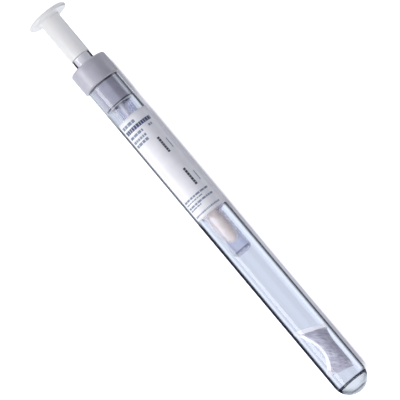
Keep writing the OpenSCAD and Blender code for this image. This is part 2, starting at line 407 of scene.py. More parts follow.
def arc(z, r, radius, start, end, steps):
    """Points of an arc in the half section, with its angles in degrees from the axis."""
    angles = [math.radians(start + (end - start) * i / steps) for i in range(steps + 1)]
    return [(z + radius * math.cos(a), r + radius * math.sin(a)) for a in angles]


def straight(z0, z1, r, guard):
    """Points of a straight wall, with one close to each end so that shading stays flat between."""
    guard = math.copysign(guard, z1 - z0)
    return [(z0 + guard, r), ((z0 + z1) / 2, r), (z1 - guard, r)]


def turned(name, outline, materials, rounds, shape=None, turns=()):
    """A solid turned round the tubes' axis from its half section.

    A point of no radius closes the solid on the axis. shape(z, r, angle) may move a point in or out.
    From each of the outline's points numbered in turns, the surface takes the next material.
    """
    vertices = []
    rings = []
    for z, r in outline:
        if r < ON_AXIS:
            rings.append([len(vertices)] * rounds)
            vertices.append((0.0, 0.0, z))
            continue
        rings.append(list(range(len(vertices), len(vertices) + rounds)))
        for i in range(rounds):
            angle = 2 * math.pi * i / rounds
            vertices.append(round_axis(z, shape(z, r, angle) if shape else r, angle))
    closed = outline[0][1] >= ON_AXIS
    pairs = zip(rings, rings[1:] + rings[:1]) if closed else zip(rings, rings[1:])
    faces = []
    face_slots = []
    for place, (one, two) in enumerate(pairs):
        for i in range(rounds):
            k = (i + 1) % rounds
            corners = dict.fromkeys((one[i], one[k], two[k], two[i]))
            faces.append(tuple(corners))
            face_slots.append(sum(place >= turn for turn in turns))
    return place_mesh(name, vertices, faces, materials, face_slots)


# ---------------------------------------------------------------- settings

LENGTH = {"subtype": "DISTANCE", "unit": "LENGTH"}
ANGLE = {"subtype": "ANGLE", "unit": "ROTATION"}
COLOUR = {"subtype": "COLOR", "size": 4, "min": 0.0, "max": 1.0}


class SWABTUBE_PG_glass(bpy.types.PropertyGroup):
    """Sizes and finish of the two glass tubes"""
    outer_wall: FloatProperty(
        name="Outer Wall", description="Wall of the large tube",
        default=1.0 * MM, min=0.3 * MM, **LENGTH)
    outer_base: FloatProperty(
        name="Outer Base", description="Glass below the flat floor of the large tube",
        default=5.5 * MM, min=1.0 * MM, **LENGTH)
    outer_floor_round: FloatProperty(
        name="Floor Rounding", description="Rounding between the large tube's floor and its bore",
        default=1.5 * MM, min=0.2 * MM, **LENGTH)
    inner_wall: FloatProperty(
        name="Inner Wall", description="Wall of the small tube",
        default=0.8 * MM, min=0.3 * MM, **LENGTH)
    inner_end_round: FloatProperty(
        name="Inner End Rounding", description="Rounding of the small tube's closed end",
        default=2.0 * MM, min=0.5 * MM, **LENGTH)
    outer_tint: FloatVectorProperty(
        name="Outer Tint", description="Colour of the large tube's glass",
        default=linear("#F0F2F8"), **COLOUR)
    inner_tint: FloatVectorProperty(
        name="Inner Tint", description="Colour of the small tube's glass",
        default=linear("#F4F4F9"), **COLOUR)


class SWABTUBE_PG_swab(bpy.types.PropertyGroup):
    """Finish of the stopper, the plunger and the swab"""
    rubber: FloatVectorProperty(
        name="Rubber", description="Colour of the stopper", default=linear("#AAA7B3"), **COLOUR)
    rubber_roughness: FloatProperty(
        name="Rubber Roughness", description="How dull the stopper is",
        default=0.42, min=0.0, max=1.0, subtype="FACTOR")
    plastic: FloatVectorProperty(
        name="Plunger", description="Colour of the plunger", default=linear("#DEDDD8"), **COLOUR)
    stick: FloatVectorProperty(
        name="Stick", description="Colour of the stick", default=linear("#F1F0EE"), **COLOUR)
    # The colour between the strands is painted shade in the hollows.
    fibre_hollow_shade: FloatVectorProperty(
        name="Fibre Core", description="Colour between the strands",
        default=linear("#E5D4C2"), **COLOUR)
    fibre_crown: FloatVectorProperty(
        name="Fibre Crown", description="Colour of the strands that stand up",
        default=linear("#F9EDDC"), **COLOUR)
    loose_strands: IntProperty(
        name="Loose Strands", description="Strands that lie loose on the bud", default=110, min=0)


class SWABTUBE_PG_label(bpy.types.PropertyGroup):
    """Size and print of the label"""
    wrap: FloatProperty(
        name="Wrap", description="How far round the tube the label goes",
        default=math.radians(290), min=1.0, max=6.0, **ANGLE)
    first_edge: FloatProperty(
        name="First Edge", description="Where the label's first edge lies, round from the front",
        default=math.radians(-60), **ANGLE)
    corner: FloatProperty(
        name="Corner", description="Radius of the label's corners",
        default=1.2 * MM, min=0.2 * MM, **LENGTH)
    paper: FloatVectorProperty(
        name="Paper", description="Colour of the paper", default=linear("#F4F3F6"), **COLOUR)
    blue_ink: FloatVectorProperty(
        name="Blue Ink", description="Colour of the bold print",
        default=linear("#22305A"), **COLOUR)
    grey_ink: FloatVectorProperty(
        name="Grey Ink", description="Colour of the small print",
        default=linear("#6C7A92"), **COLOUR)
    black_ink: FloatVectorProperty(
        name="Black Ink", description="Colour of the stamped print",
        default=linear("#2B2A35"), **COLOUR)


class SWABTUBE_PG_sachet(bpy.types.PropertyGroup):
    """Form and finish of the sachet"""
    width: FloatProperty(
        name="Width", description="Width across the filled middle", default=7.2 * MM, **LENGTH)
    thickness: FloatProperty(
        name="Thickness", description="Thickness of the filled middle",
        default=5.6 * MM, **LENGTH)
    offset: FloatProperty(
        name="Offset", description="How far the filled middle lies off the axis",
        default=1.4 * MM, **LENGTH)
    length: FloatProperty(
        name="Length", description="Length along the axis", default=24.0 * MM, **LENGTH)
    crease: FloatProperty(
        name="Crease", description="Depth of the creases in the film",
        default=0.35 * MM, **LENGTH)
    film: FloatVectorProperty(
        name="Film", description="Colour of the film", default=linear("#E4E1E8"), **COLOUR)
    # The colour between the fibres is painted shade in the hollows.
    seam: FloatVectorProperty(
        name="Hollows", description="Colour between the fibres",
        default=linear("#B0ACBC"), **COLOUR)
    # The hem's white is the seal's, and on the fold at the lamp's side it is a painted highlight.
    hem: FloatVectorProperty(
        name="Hem", description="Colour where the film is sealed or folded",
        default=linear("#FFFFFF"), **COLOUR)
    # The colour between the fibres of the hem is painted shade in its hollows.
    hem_shade: FloatVectorProperty(
        name="Hem Hollows", description="Colour between the fibres of the hem",
        default=linear("#FAF6FA"), **COLOUR)


class SWABTUBE_PG_stage(bpy.types.PropertyGroup):
    """Camera, lamps and floor"""
    lens: FloatProperty(
        name="Lens", description="Focal length of the camera", default=300.0, unit="CAMERA")
    turn: FloatProperty(
        name="Turn", description="How far the tube slopes across the view",
        default=math.radians(50), **ANGLE)
    lean: FloatProperty(
        name="Lean", description="How far the camera is raised above the horizon",
        default=math.radians(7.5), **ANGLE)
    view_width: FloatProperty(
        name="View Width", description="Width of the view at the tube",
        default=175.4 * MM, **LENGTH)
    key_light: FloatProperty(
        name="Key Light", description="Brightness of the strip lamp's face", default=4.4, min=0.0)
    room_light: FloatProperty(
        name="Room Light", description="Brightness of the room", default=0.56, min=0.0)
    floor_width: FloatProperty(
        name="Floor Width", description="Width of the round sheet that the part stands on",
        default=0.24, **LENGTH)
    paper_width: FloatProperty(
        name="Paper Width", description="Width of the sheet behind the part",
        default=0.6, **LENGTH)
    floor_glow: FloatProperty(
        name="Floor White", description="What the floor adds so that it shows white",
        default=0.8, min=0.0)
    backdrop_glow: FloatProperty(
        name="Backdrop White", description="What the backdrop adds so that it shows white",
        default=0.06, min=0.0)


# ---------------------------------------------------------------- pieces

class SWABTUBE_OT_glass(bpy.types.Operator):
    """Blows the large and the small glass tube"""
    bl_idname = "swabtube.glass"
    bl_label = "Glass Tubes"

    ROUNDS = 160
    GUARD = 0.3 * MM

    def outer_section(self, size):
        """Half section of the large tube: its outside, its rim and its bore."""
        bore = TUBE_R - size.outer_wall
        rim = size.outer_wall / 2
        end, mouth = TUBE_HIGH.z, TUBE_LOW.z
        dome = end - TUBE_R
        floor = end - size.outer_base
        fillet = size.outer_floor_round
        outside = (
            arc(dome, 0, TUBE_R, 0, 90, 24)
            + straight(dome, mouth + rim, TUBE_R, self.GUARD)
        )
        edge = arc(mouth + rim, TUBE_R - rim, rim, 90, 270, 12)
        inside = (
            straight(mouth + rim, floor - fillet, bore, self.GUARD)
            + arc(floor - fillet, bore - fillet, fillet, 90, 0, 10)
            + [(floor, bore - fillet - self.GUARD), (floor, 0)]
        )
        return outside, edge, inside

    def inner_section(self, size):
        """Half section of the small tube: its outside, its rim and its bore."""
        bore = INNER_R - size.inner_wall
        rim = size.inner_wall / 2
        end, mouth = INNER_HIGH.z, INNER_LOW.z
        floor = end - size.inner_wall
        turn = size.inner_end_round
        fillet = turn - size.inner_wall / 2
        outside = (
            [(end, 0), (end, INNER_R - turn - self.GUARD)]
            + arc(end - turn, INNER_R - turn, turn, 0, 90, 10)
            + straight(end - turn, STOPPER_LOW.z, INNER_R, self.GUARD)
        )
        edge = (
            straight(STOPPER_LOW.z, mouth + rim, INNER_R, self.GUARD)
            + arc(mouth + rim, INNER_R - rim, rim, 90, 270, 10)
        )
        inside = (
            straight(mouth + rim, floor - fillet, bore, self.GUARD)
            + arc(floor - fillet, bore - fillet, fillet, 90, 0, 8)
            + [(floor, bore - fillet - self.GUARD), (floor, 0)]
        )
        return outside, edge, inside

    def blown(self, name, section, glass):
        """One tube, with the glass of its outside, its rim and its bore."""
        outside, edge, inside = section
        turns = (len(outside), len(outside) + len(edge))
        return turned(name, outside + edge + inside, glass, self.ROUNDS, turns=turns)

    def execute(self, context):
        size = context.scene.swabtube_glass
        large = [
            drawn_glass("large_tube_glass", size.outer_tint, lined=True, wall=0.9, end=0.6,
                        paler=True),
            drawn_glass("large_rim_glass", size.outer_tint, near_fold_shade=0.9, far_fold_shade=0.9, flat=1.0),
            drawn_glass("large_bore_glass", size.outer_tint, near_fold_shade=0.95, far_fold_shade=0.15),
        ]
        small = [
            drawn_glass("small_tube_glass", size.inner_tint, lined=True, end=0.1, clear=0.6),
            drawn_glass("small_rim_glass", size.inner_tint, wall=0.95, wall_from=0.38,
                        near_fold_shade=0.6, far_fold_shade=0.6, flat=1.0),
            drawn_glass("small_bore_glass", size.inner_tint, near_fold_shade=0.6, far_fold_shade=0.3, clear=0.6),
        ]
        outer = self.blown("outer_glass", self.outer_section(size), large)
        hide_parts("outer_tube")
        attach(outer, "tube")
        inner = self.blown("inner_glass", self.inner_section(size), small)
        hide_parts("inner_tube")
        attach(inner, "inner")
        return {"FINISHED"}


def finish_node(name, material):
    """Gives a CAD node its material."""
    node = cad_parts[name]
    node.data.materials.clear()
    node.data.materials.append(material)


class SWABTUBE_OT_stopper(bpy.types.Operator):
    """Gives the stopper its rubber"""
    bl_idname = "swabtube.stopper"
    bl_label = "Stopper"

    def execute(self, context):
        look = context.scene.swabtube_swab
        rubber = moulded_butyl_rubber("moulded_butyl_rubber", look.rubber, look.rubber_roughness)
        finish_node("stopper", rubber)
        return {"FINISHED"}


class SWABTUBE_OT_swab(bpy.types.Operator):
    """Finishes the plunger and the stick, and winds the bud"""
    bl_idname = "swabtube.swab"
    bl_label = "Plunger and Swab"

    # The bud's form: how square its ends are, how blunt, how far its tip is drawn in, and how much
    # is added all round for what the grooves take away.
    FULLNESS = 4.5
    BLUNTNESS = 2.2
    TIP_DRAW = 0.1
    ADDED = 1.07
    # The winding: its rise for each radian, and the depth of its grooves.
    RISE = 0.45 * MM
    GROOVE = 0.06 * MM
    # The soft lumps: how long and how broad they are, how far they stand out, and how far the whole
    # is sunk.
    LUMP_LENGTH = 2.2 * MM
    LUMPS_ROUND = 1.4
    LUMP = 0.22 * MM
    SUNK = 0.08 * MM
    GLUE_ROOM = 0.02 * MM
    END_ROOM = 0.05 * MM
    WALL = 0.05 * MM
    STRAND_POINTS = 7
    STRAND_THICK = 0.018 * MM

    def bud_radius(self, share):
        """Full in the middle, blunt at the top and drawn in to a round tip."""
        fullest = (BUD_HIGH.x - BUD_LOW.x) / 2
        across = abs(2 * share - 1)
        ends = max(0.0, 1 - across ** self.FULLNESS) ** (1 / self.BLUNTNESS)
        return fullest * ends * (1 - self.TIP_DRAW * share ** 3) * self.ADDED

    def socket(self):
        """Radius and floor of the hole in the bud, which takes the stick's end."""
        return (STICK_HIGH.x - STICK_LOW.x) / 2 + self.GLUE_ROOM, STICK_HIGH.z + self.END_ROOM

    def bud_section(self):
        """Half section of the bud, from its tip down to its mouth and up the stick's hole."""
        steps = 48
        span = BUD_HIGH.z - BUD_LOW.z
        hole, floor = self.socket()
        section = [(BUD_HIGH.z, 0.0)]
        for i in range(1, steps):
            # The points are crowded where the surface turns in.
            share = (1 + math.cos(math.pi * i / steps)) / 2
            z, r = BUD_LOW.z + span * share, self.bud_radius(share)
            if z > floor or r > hole:
                section.append((z, r))
        guard = 0.1 * MM
        section += [(BUD_LOW.z, hole), (BUD_LOW.z + guard, hole), (floor - guard, hole)]
        section += [(floor, hole), (floor, hole - guard), (floor, 0.0)]
        return section

    def wound(self, z, r, angle):
        """The bud's surface: shallow grooves between the turns, and soft lumps.

        The stick's hole keeps its shape, and no groove reaches it.
        """
        hole, floor = self.socket()
        least = hole + self.WALL if z <= floor else 0.0
        if r < least:
            return r
        turns = math.sin(angle + z / self.RISE) * self.GROOVE
        place = Vector((z / self.LUMP_LENGTH, math.cos(angle) * self.LUMPS_ROUND,
                        math.sin(angle) * self.LUMPS_ROUND))
        deep = (turns - self.SUNK + self.LUMP * noise.noise(place)) * min(1.0, r / MM)
        return max(least, min(r, r + deep))

    def strand(self, draw):
        """The middle line of one loose strand, which winds a little way over the bud."""
        start = draw.uniform(0.08, 0.85)
        angle = draw.uniform(0, 2 * math.pi)
        rise = draw.uniform(0.04, 0.14)
        sweep = draw.uniform(0.4, 1.5) * draw.choice((-1, 1))
        lift = draw.uniform(0.02, 0.16) * MM
        span = BUD_HIGH.z - BUD_LOW.z
        points = []
        for i in range(self.STRAND_POINTS):
            t = i / (self.STRAND_POINTS - 1)
            share = min(0.97, start + rise * t)
            r = self.bud_radius(share) + lift * math.sin(math.pi * t)
            points.append(Vector(round_axis(BUD_LOW.z + span * share, r, angle + sweep * t)))
        return points

    def strands(self, count, material):
        """All the loose strands, as one mesh of thin three-sided threads."""
        draw = random.Random(7)
        vertices = []
        faces = []
        end = self.STRAND_POINTS - 1
        for _ in range(count):
            first = len(vertices)
            points = self.strand(draw)
            for i, point in enumerate(points):
                run = points[min(i + 1, end)] - points[max(i - 1, 0)]
                side = run.cross(Vector((0, 0, 1))).normalized()
                rise = side.cross(run).normalized()
                for k in range(3):
                    a = 2 * math.pi * k / 3
                    out = side * math.cos(a) + rise * math.sin(a)
                    vertices.append(point + out * self.STRAND_THICK)
            for i in range(end):
                for k in range(3):
                    a, b = first + 3 * i + k, first + 3 * i + (k + 1) % 3
                    faces.append((a, a + 3, b + 3, b))
            last = first + 3 * end
            faces.append((first, first + 1, first + 2))
            faces.append((last, last + 2, last + 1))
        return place_mesh("bud_strands", vertices, faces, [material])

    def execute(self, context):
        look = context.scene.swabtube_swab
        finish_node("plunger", moulded_polypropylene("moulded_polypropylene", look.plastic))
        finish_node("swab_stick", extruded_polystyrene("extruded_polystyrene", look.stick))
        fibre = wound_rayon_fibre("wound_rayon_fibre", look.fibre_hollow_shade, look.fibre_crown)
        bud = turned("fibre_bud", self.bud_section(), [fibre], 96, self.wound)
        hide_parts("swab_bud")
        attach(bud, "swab")
        loose = self.strands(look.loose_strands, fibre)
        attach(loose, "swab")
        return {"FINISHED"}


# The label's print, as plain bars and broken lines. Each mark has its distance from the label's
# first end and its width along the tube, its start and end round the tube from the label's first
# edge, all in millimetres, its ink, and the way that it is broken up.
PRINT = [
    (2.2, 1.5, 1.1, 8.9, "grey", "words"),
    (4.7, 1.9, 1.1, 16.0, "blue", "blocks"),
    (7.9, 1.2, 1.1, 8.9, "grey", "words"),
    (7.9, 1.1, 12.3, 14.8, "grey", "words"),
    (10.3, 1.2, 1.1, 8.8, "grey", "words"),
    (12.3, 1.3, 1.1, 8.4, "grey", "words"),
    (45.2, 0.9, 1.1, 15.6, "grey", "words"),
    (46.9, 0.5, 1.1, 11.0, "grey", "words"),
    (48.5, 0.9, 1.1, 15.4, "grey", "words"),
    (49.9, 0.6, 1.1, 7.6, "grey", "words"),
    (53.2, 0.8, 1.1, 15.6, "grey", "dots"),
]
STAMPS = [
    (15.3, 23.6, 11.2, 12.4, "black"),
    (17.6, 23.4, 14.7, 15.3, "grey"),
    (33.2, 42.2, 11.2, 12.4, "black"),
    (36.4, 41.8, 14.7, 15.3, "grey"),
]


class SWABTUBE_OT_label(bpy.types.Operator):
    """Wraps the paper label and prints it"""
    bl_idname = "swabtube.label"
    bl_label = "Label"

    # Between the paper and the glass, and how far the print stands above the paper and below it.
    GAP = 0.015 * MM
    INK_HEIGHTS = (0.008 * MM, -0.02 * MM)
    INK_STEP = 0.5 * MM
    # How print is broken up: its shortest and longest pieces and the gap between them, in mm.
    BREAKS = {"words": (0.7, 2.2, 0.35), "blocks": (0.9, 1.3, 0.22), "dots": (0.35, 0.9, 0.28)}

    def at(self, size, along, around, lift):
        """A point of the label, from its distances along, around and above its paper in metres."""
        r = LABEL_R + lift
        return round_axis(LABEL_LOW.z + along, r, size.first_edge + around / LABEL_R)

    def rows(self, size, width):
        """How far round each row of the label lies, and how far its ends are drawn in there."""
        steps = 8
        corner = size.corner
        turn = [math.radians(90) * i / steps for i in range(steps)]
        near = [(corner * (1 - math.cos(a)), corner * (1 - math.sin(a))) for a in turn]
        count = 110
        middle = [(corner + (width - 2 * corner) * i / count, 0.0) for i in range(count + 1)]
        far = [(width - place, inset) for place, inset in reversed(near)]
        return near + middle + far

    def sheet(self, size, material):
        """The label's paper, with its thickness."""
        thick = LABEL_R - TUBE_R - self.GAP
        length = LABEL_HIGH.z - LABEL_LOW.z
        rows = self.rows(size, LABEL_R * size.wrap)
        columns = 40
        vertices = []
        for lift in (0.0, -thick):
            for around, inset in rows:
                for i in range(columns + 1):
                    along = inset + (length - 2 * inset) * i / columns
                    vertices.append(self.at(size, along, around, lift))
        wide = columns + 1
        under = wide * len(rows)
        faces = []
        for j in range(len(rows) - 1):
            for i in range(columns):
                a = j * wide + i
                faces.append((a, a + 1, a + wide + 1, a + wide))
                faces.append((under + a, under + a + wide, under + a + wide + 1, under + a + 1))
        last = (len(rows) - 1) * wide
        for i in range(columns):
            faces.append((i + 1, i, under + i, under + i + 1))
            faces.append((last + i, last + i + 1, under + last + i + 1, under + last + i))
        for j in range(len(rows) - 1):
            a, b = j * wide, (j + 1) * wide
            faces.append((a, b, under + b, under + a))
            a, b = a + columns, b + columns
            faces.append((b, a, under + a, under + b))
        return place_mesh("paper_label", vertices, faces, [material])

    def broken(self, draw, start, end, way):
        """Breaks a line of print into the lengths of its words."""
        short, long, gap = self.BREAKS[way]
        pieces = []
        place = start
        while place < end - short / 2:
            stop = min(end, place + draw.uniform(short, long))
            pieces.append((place, stop))
            place = stop + gap
        return pieces

    def patch(self, size, vertices, along0, along1, around0, around1):
        """Adds one patch of ink that follows the label and sinks into it, and returns its faces."""
        steps = max(1, math.ceil((around1 - around0) / self.INK_STEP))
        first = len(vertices)
        for i in range(steps + 1):
            around = around0 + (around1 - around0) * i / steps
            for lift in self.INK_HEIGHTS:
                vertices.append(self.at(size, along0, around, lift))
                vertices.append(self.at(size, along1, around, lift))
        last = first + 4 * steps
        faces = [(first + 1, first, first + 2, first + 3), (last, last + 1, last + 3, last + 2)]
        for a in range(first, last, 4):
            b = a + 4
            faces += [(a, a + 1, b + 1, b), (a, b, b + 2, a + 2)]
            faces += [(a + 2, b + 2, b + 3, a + 3), (a + 1, a + 3, b + 3, b + 1)]
        return faces

    def execute(self, context):
        size = context.scene.swabtube_label
        paper = coated_label_paper("coated_label_paper", size.paper)
        sheet = self.sheet(size, paper)
        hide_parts("label")
        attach(sheet, "tube")
        inks = {
            "blue": printing_ink("blue_printing_ink", size.blue_ink, linear("#7C89A6")),
            "grey": printing_ink("grey_printing_ink", size.grey_ink, linear("#B5BDCB")),
            "black": printing_ink("black_printing_ink", size.black_ink, linear("#6B6875")),
        }
        slots = list(inks)
        draw = random.Random(11)
        vertices = []
        faces = []
        face_inks = []
        patches = []
        for along, width, start, end, ink, way in PRINT:
            for one, two in self.broken(draw, start, end, way):
                patches.append((along, along + width, one, two, ink))
        for start, end, low, high, ink in STAMPS:
            for one, two in self.broken(draw, start, end, "blocks"):
                patches.append((one, two, low, high, ink))
        for along0, along1, around0, around1, ink in patches:
            edges = [value * MM for value in (along0, along1, around0, around1)]
            made = self.patch(size, vertices, *edges)
            faces += made
            face_inks += [slots.index(ink)] * len(made)
        printed = place_mesh("label_print", vertices, faces, list(inks.values()), face_inks,
                             smooth=False)
        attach(printed, "tube")
        return {"FINISHED"}


class SWABTUBE_OT_sachet(bpy.types.Operator):
    """Folds and seals the sachet"""
    bl_idname = "swabtube.sachet"
    bl_label = "Sachet"

    RINGS = 120
    SIDES = 120
    CRIMP = 2.0 * MM
    CRIMP_THICK = 0.5 * MM
    CORNER_DRAW = 2.2 * MM
    # The creases: the folds that fan out from a seal and their twist, the rumples along the pouch
    # and round it, how much finer the finest are, and how deep each kind is.
    FOLDS = 9
    TWIST = 5
    RUMPLES_ALONG = 7
    RUMPLES_ROUND = 1.6
    FINER = 3.1
    DEPTHS = (0.35, 0.55, 0.25)
    # How far each end lies askew, as a slope across the bore.
    FIRST_SKEW = 0.42
    LAST_SKEW = 0.26
    # The painted highlight, the white of the fold on the lamp's side, takes the part of each ring
    # whose cosine is below this.
    HIGHLIGHT_FOLD_EDGE = -0.68

    def swell(self, size, share):
        """How full the sachet is at a share of its length."""
        flat = self.CRIMP / size.length
        t = (share - flat) / (1 - 2 * flat)
        return math.sin(math.pi * t) ** 0.7 if 0 < t < 1 else 0.0

    def creases(self, share, angle, full):
        """Depth of the film's creases, from -1 to 1: fans from the seals, and a crumpled middle."""
        fan = math.sin(self.FOLDS * angle + self.TWIST * share) * (1 - full) ** 0.6
        place = Vector((share * self.RUMPLES_ALONG, math.cos(angle) * self.RUMPLES_ROUND,
                        math.sin(angle) * self.RUMPLES_ROUND))
        ridge = 1 - 2 * abs(noise.noise(place))
        fine = noise.noise(place * self.FINER + Vector((4, 0, 0)))
        return self.DEPTHS[0] * fan + self.DEPTHS[1] * (ridge - 0.6) + self.DEPTHS[2] * fine

    def point(self, size, share, angle):
        """A point of the sachet's skin, which stays inside the bore."""
        reach = (SACHET_HIGH.x - SACHET_LOW.x) / 2
        full = self.swell(size, share)
        drawn_in = self.CORNER_DRAW * share * (1 - full) * max(0.0, math.cos(angle))
        half_w = reach + (size.width / 2 - reach) * full - drawn_in
        half_t = (self.CRIMP_THICK + (size.thickness - self.CRIMP_THICK) * full) / 2
        crease = size.crease * self.creases(share, angle, full) * (0.15 + full)
        x = (half_t + crease) * math.sin(angle)
        y = size.offset * full + (half_w + 0.4 * crease) * math.cos(angle)
        fit = min(1.0, reach / math.hypot(x, y))
        skew = self.FIRST_SKEW + (self.LAST_SKEW - self.FIRST_SKEW) * share
        start = (SACHET_LOW.z + SACHET_HIGH.z - size.length) / 2
        z = start + size.length * share + skew * y * fit
        return (-y * fit, x * fit, z)

    def execute(self, context):
        size = context.scene.swabtube_sachet
        film = spunbonded_film("spunbonded_film", size.film, size.seam)
        hem = spunbonded_film("sealed_and_highlit_film", size.hem, size.hem_shade, glow=0.16)
        vertices = []
        for i in range(self.RINGS + 1):
            for j in range(self.SIDES):
                angle = 2 * math.pi * j / self.SIDES
                vertices.append(self.point(size, i / self.RINGS, angle))
        faces = [tuple(range(self.SIDES))]
        face_slots = [1]
        # The film is white where it is sealed at its first end, and, as a painted highlight, where it
        # is folded at its edge on the lamp's side. Both take the faint painted glow of light through
        # the film.
        sealed = round(self.RINGS * self.CRIMP / size.length)
        for i in range(self.RINGS):
            for j in range(self.SIDES):
                k = (j + 1) % self.SIDES
                a, b = i * self.SIDES, (i + 1) * self.SIDES
                faces.append((a + k, a + j, b + j, b + k))
                fold = math.cos(2 * math.pi * j / self.SIDES) < self.HIGHLIGHT_FOLD_EDGE
                face_slots.append(int(i < sealed or fold))
        faces.append(tuple(reversed(range(self.RINGS * self.SIDES, (self.RINGS + 1) * self.SIDES))))
        face_slots.append(0)
        pouch = place_mesh("folded_sachet", vertices, faces, [film, hem], face_slots)
        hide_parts("sachet")
        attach(pouch, "tube")
        return {"FINISHED"}


# ---------------------------------------------------------------- stage

class SWABTUBE_OT_stage(bpy.types.Operator):
    """Sets up the floor, the backdrop, the lamps and the camera"""
    bl_idname = "swabtube.stage"
    bl_label = "Stage"

    PAPER = linear("#E8E8EC")
    SHADED_PAPER = linear("#C3C3CB")
    FLOOR_REACH = 12 * MM
    LAMP_ANGLE = math.radians(58)
    LAMP_AWAY = 0.5
    LAMP_WIDTH = 0.2
    LAMP_LENGTH = 0.6

    def paper(self, tree, colour, glow, through, beyond):
        """White paper: it shows pure white, and still takes the part's soft shadow.

        Through glass and in gloss it shows a pale blue of the strength given. Its back lets the eye
        through, so that the part can be seen from behind the sheet, and so does what lies beyond.
        """
        path = add_node(tree, "LightPath").outputs
        bent = add_node(tree, "Math", {
            0: path["Is Glossy Ray"], 1: path["Is Transmission Ray"]}, operation="MAXIMUM")
        matt = add_node(tree, "BsdfDiffuse", {"Color": colour})
        direct = add_node(tree, "Math", {0: path["Is Camera Ray"], 1: glow}, operation="MULTIPLY")
        white = add_node(tree, "Emission", {"Strength": direct})
        seen = add_node(tree, "AddShader", {0: matt, 1: white})
        cool = add_node(tree, "Emission", {"Color": linear("#EFF5FD"), "Strength": through})
        front = add_node(tree, "MixShader", {"Fac": bent, 1: seen, 2: cool})
        open_here = add_node(tree, "Math", {
            0: path["Is Camera Ray"], 1: beyond}, operation="MULTIPLY")
        back = add_node(tree, "NewGeometry").outputs["Backfacing"]
        back = add_node(tree, "Math", {0: back, 1: open_here}, operation="MAXIMUM")
        clear = add_node(tree, "BsdfTransparent")
        sheet = add_node(tree, "MixShader", {"Fac": back, 1: front, 2: clear})
        add_node(tree, "OutputMaterial", {"Surface": sheet})

    def floor_paper(self, size):
        """Beyond its reach the eye goes through it, so that pieces drawn out below it show."""
        material, tree = new_material("white_paper_floor")
        place = add_node(tree, "TexCoord").outputs["Object"]
        out = add_node(tree, "VectorMath", {0: place}, operation="LENGTH").outputs["Value"]
        beyond = add_node(tree, "MapRange", {
            "Value": out, "From Min": self.FLOOR_REACH, "From Max": self.FLOOR_REACH + 3 * MM})
        self.paper(tree, self.PAPER, size.floor_glow, 1.0, beyond)
        return material

    def within(self, tree, box, outer, inner):
        """A value inside a box of the sheet and another outside it.

        The box has, for each axis that it limits, its low and high edge and how soft they are.
        """
        place = add_node(tree, "TexCoord").outputs["Object"]
        split = add_node(tree, "SeparateXYZ", {"Vector": place}).outputs
        share = 1.0
        for axis, (low, high, soft) in box.items():
            for start, end in ((low - soft, low), (high + soft, high)):
                edge = add_node(tree, "MapRange", {
                    "Value": split[axis], "From Min": start, "From Max": end})
                share = add_node(tree, "Math", {0: edge, 1: share}, operation="MULTIPLY")
        return add_node(tree, "MapRange", {"Value": share, "To Min": outer, "To Max": inner})

    def backdrop_paper(self, size):
        """Only the part of the sheet close behind the tube takes the shadow.

        Through glass it shows white, painted a little darker as shadow right behind the part and
        between the stopper and the label, where their shadows would meet. Beside the tube the sheet
        is dark for glass alone, so that glass edges stand out: most on the lamp's side, past the
        label. A clear pane casts no shadow here, so the faint one that a real tube casts past the
        label is drawn on it.
        """
        material, tree = new_material("white_paper_backdrop")
        past_label = (LABEL_HIGH.z + MM, TUBE_HIGH.z - 12 * MM, 6 * MM)
        drawn = self.within(tree, {"X": (-8.9 * MM, 0.0, 1.1 * MM), "Z": past_label}, 0.0, 1.0)
        colour = add_node(tree, "MixRGB", {
            "Fac": drawn, "Color1": self.PAPER, "Color2": self.SHADED_PAPER})

        tube = (STOPPER_LOW.z + 5 * MM, TUBE_HIGH.z - 10 * MM, 8 * MM)
        glow = self.within(tree, {"X": (-9.1 * MM, 0.0, 1.4 * MM), "Z": tube},
                           1.0, size.backdrop_glow)

        # Painted shadow, seen through glass alone: a little darker right behind the part and between
        # the stopper and the label.
        behind = self.within(tree, {"X": (-4.6 * MM, 6.4 * MM, 1.6 * MM)}, 1.28, 1.0)
        neck = (STOPPER_HIGH.z - MM, LABEL_LOW.z + MM, 2 * MM)
        neck = self.within(tree, {"Z": neck}, 1.28, 0.9)
        painted_shadow_through = add_node(tree, "Math", {0: behind, 1: neck}, operation="MINIMUM")

        beside_label = {"Z": (LABEL_LOW.z, LABEL_HIGH.z, 2 * MM)}
        above_label = {"Z": (LABEL_HIGH.z, 1.0, 2 * MM)}
        lamp_side = self.within(tree, beside_label, 0.7, 0.3)
        lamp_side = self.within(tree, above_label, lamp_side, 0.04)
        far_side = self.within(tree, above_label, 0.08, 0.4)
        dark = self.within(tree, {"X": (-1.0, 0.0, 4 * MM)}, lamp_side, far_side)
        near = self.within(tree, {"X": (-11 * MM, 9 * MM, 3 * MM)}, dark, 1.0)
        far = self.within(tree, {"X": (-34 * MM, 34 * MM, 4 * MM)}, 1.0, 0.04)
        lit = add_node(tree, "Math", {0: near, 1: far}, operation="MAXIMUM")
        through = add_node(tree, "Math", {0: painted_shadow_through, 1: lit}, operation="MULTIPLY")
        self.paper(tree, colour, glow, through, 0.0)
        return material

    def sheets(self, size):
        """The paper that the part stands on, and the paper that hangs close behind it."""
        ground = CAD_BOX[0].z
        steps = 96
        ring = [2 * math.pi * i / steps for i in range(steps)]
        r = size.floor_width / 2
        disc = [(r * math.cos(a), r * math.sin(a), ground) for a in ring]
        floor = place_mesh("floor", disc, [tuple(range(steps))], [self.floor_paper(size)],
                           smooth=False)
        side = size.paper_width / 2
        low = ground - 0.3 * size.paper_width
        top = ground + size.paper_width
        behind = CAD_BOX[1].y + 0.1 * MM
        corners = [(side, behind, low), (-side, behind, low),
                   (-side, behind, top), (side, behind, top)]
        backdrop = place_mesh("backdrop", corners, [(1, 0, 3, 2)], [self.backdrop_paper(size)],
                              smooth=False)

